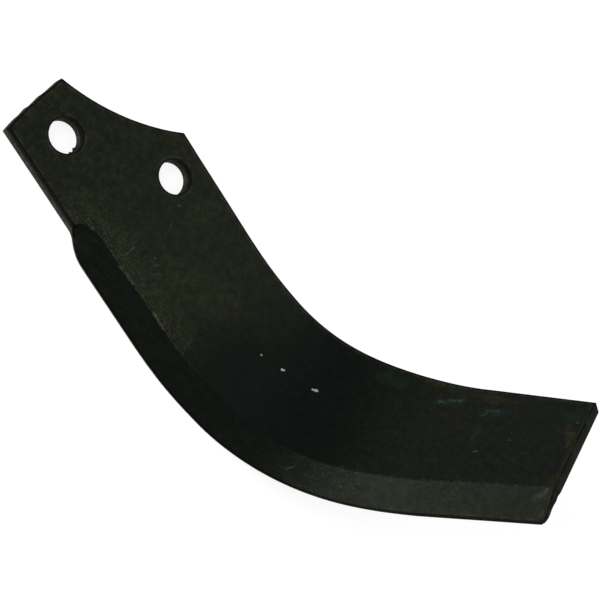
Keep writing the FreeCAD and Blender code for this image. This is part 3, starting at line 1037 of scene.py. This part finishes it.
def relief(tree, steel):
    """Normal with the fine relief of the mottling and the grain."""
    height = multiply(tree, steel.grain, GRAIN_RELIEF)
    height = calculate(tree, "ADD", steel.mottle, height)
    values = {"Strength": RELIEF_STRENGTH, "Distance": RELIEF_DEPTH * MM, "Height": height}
    return add_node(tree, "Bump", values).outputs["Normal"]


def blackened_steel():
    """Forge scale, dark olive to slate, with painted shade in the bend, painted highlights on the
    wing's bevel, ridges and rims beside their wear, bright specks, rust and scuffs.
    """
    material = bpy.data.materials.new("blackened_steel")
    material.use_nodes = True
    tree = material.node_tree
    steel = read_steel(tree)
    color = scale_color(tree, steel)
    color = with_walls(tree, steel, color)
    color = with_wear_and_highlights(tree, steel, color)
    for mark in MARKS:
        color = marked(tree, steel, color, mark)

    shader = tree.nodes["Principled BSDF"]
    for name, value in {
        "Base Color": shaded(tree, steel, color),
        "Roughness": roughness_of(tree, steel),
        "Specular IOR Level": SPECULAR,
        "Specular Tint": SPECULAR_TINT,
        "Normal": relief(tree, steel),
    }.items():
        feed(tree, shader.inputs[name], value)
    return material


def add_camera():
    """Camera where the photograph was taken from."""
    data = bpy.data.cameras.new("camera")
    data.sensor_width = SENSOR_WIDTH
    data.lens = SENSOR_WIDTH * FOCAL_PIXELS / IMAGE_WIDTH
    camera = bpy.data.objects.new("camera", data)
    camera.location = CAMERA_PLACE
    camera.rotation_euler = Euler([radians(angle) for angle in CAMERA_TURN])
    bpy.context.scene.collection.objects.link(camera)
    bpy.context.scene.camera = camera


def background_seen(tree):
    """1 for rays that show the background, straight or in the metal, and 0 for its light."""
    path = add_node(tree, "LightPath").outputs
    seen = calculate(tree, "ADD", path["Is Camera Ray"], path["Is Glossy Ray"])
    return calculate(tree, "ADD", seen, path["Is Transmission Ray"], clamped=True)


def white_floor():
    """White that lights the blade plainly and keeps its shadow where it is seen."""
    material = bpy.data.materials.new("white_floor")
    material.use_nodes = True
    tree = material.node_tree
    tree.nodes.clear()
    seen = background_seen(tree)
    color = blend(tree, seen, FLOOR_UNSEEN, FLOOR_SEEN)
    diffuse = add_node(tree, "BsdfDiffuse", {"Color": color}).outputs[0]
    glow = multiply(tree, seen, FLOOR_GLOW)
    emission = add_node(tree, "Emission", {"Strength": glow}).outputs[0]
    both = add_node(tree, "AddShader", {0: diffuse, 1: emission}).outputs[0]
    add_node(tree, "OutputMaterial", {"Surface": both})
    return material


def add_floor():
    """Square floor under the blade's flat back."""
    low, high = -FLOOR_HALF, FLOOR_HALF
    corners = [(low, low, 0), (high, low, 0), (high, high, 0), (low, high, 0)]
    mesh = bpy.data.meshes.new("floor")
    mesh.from_pydata(corners, [], [(0, 1, 2, 3)])
    mesh.materials.append(white_floor())
    floor = bpy.data.objects.new("floor", mesh)
    bpy.context.scene.collection.objects.link(floor)
    return floor


def add_lamp(name, azimuth, elevation, size, power):
    """Rectangular lamp that faces the lamps' target."""
    data = bpy.data.lights.new(name, "AREA")
    data.shape = "RECTANGLE"
    data.size, data.size_y = size
    data.energy = power
    lamp = bpy.data.objects.new(name, data)
    turn = radians(azimuth)
    rise = radians(elevation)
    direction = Vector((cos(rise) * cos(turn), cos(rise) * sin(turn), sin(rise)))
    lamp.location = Vector(LAMP_TARGET) + direction * LAMP_DISTANCE
    lamp.rotation_euler = direction.to_track_quat("Z", "Y").to_euler()
    bpy.context.scene.collection.objects.link(lamp)


def add_world():
    """White surroundings, which light the blade weakly and are seen as white."""
    world = bpy.data.worlds.new("studio")
    bpy.context.scene.world = world
    world.use_nodes = True
    tree = world.node_tree
    background = tree.nodes["Background"]
    feed(tree, background.inputs["Color"], WHITE)
    strength = between(tree, background_seen(tree), *WORLD_STRENGTH)
    feed(tree, background.inputs["Strength"], strength)


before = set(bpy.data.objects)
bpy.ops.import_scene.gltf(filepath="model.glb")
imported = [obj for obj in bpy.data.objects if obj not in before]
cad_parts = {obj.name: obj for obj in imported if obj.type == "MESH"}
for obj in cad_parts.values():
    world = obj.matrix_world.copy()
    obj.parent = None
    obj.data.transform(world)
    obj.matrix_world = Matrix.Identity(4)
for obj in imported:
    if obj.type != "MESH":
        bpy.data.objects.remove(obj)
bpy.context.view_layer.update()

blade = add_blade(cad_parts["blade"])
blade.data.materials.clear()
blade.data.materials.append(blackened_steel())
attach(blade, "root")
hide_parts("blade")

add_floor()
add_camera()
add_world()
for lamp in LAMPS:
    add_lamp(*lamp)
bpy.context.scene.view_settings.view_transform = "Standard"
